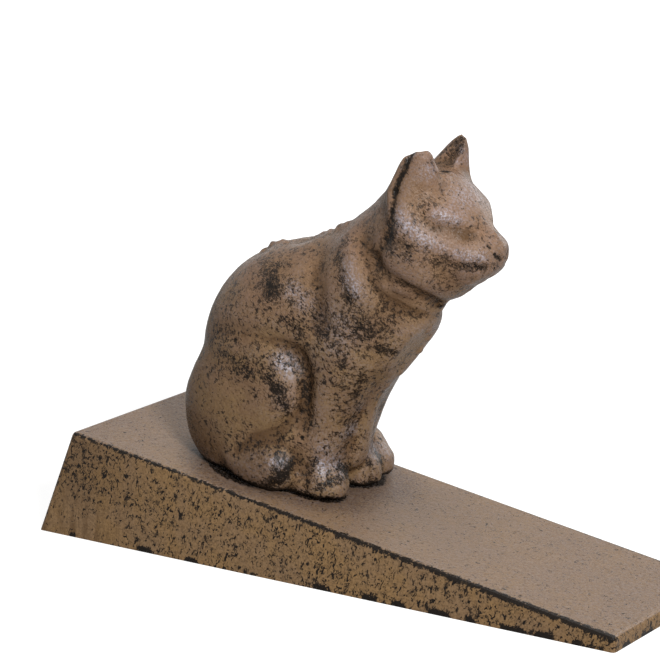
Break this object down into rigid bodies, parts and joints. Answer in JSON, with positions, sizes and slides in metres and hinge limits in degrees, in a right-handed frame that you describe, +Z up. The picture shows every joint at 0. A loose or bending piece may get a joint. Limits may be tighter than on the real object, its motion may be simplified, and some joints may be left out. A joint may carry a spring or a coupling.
{
  "type": "doorstop",
  "caption": "Cast iron doorstop: a low wedge that slides under a door, with a small sitting cat screwed to its thick end.",
  "frame": {"origin": "on the floor under the middle of the ramp", "axes": "+X points along the ramp to its thin end, +Y to the left of the cat, +Z up"},
  "size_m": [0.15, 0.045, 0.0972],
  "materials": {
    "ramp_paint": "satin tan brown paint rubbed back to black in fine specks and along the edges",
    "cat_paint": "satin tan brown paint over a fine cast grain, rubbed back to black in patches",
    "zinc_steel": "dull zinc plate",
    "spring_steel": "dull dark zinc plate"
  },
  "bodies": {
    "root": {"ramp": "ramp_paint", "cat": "cat_paint", "fixing_screw": "zinc_steel", "plain_washer": "zinc_steel", "spring_washer": "spring_steel"}
  },
  "joints": []
}
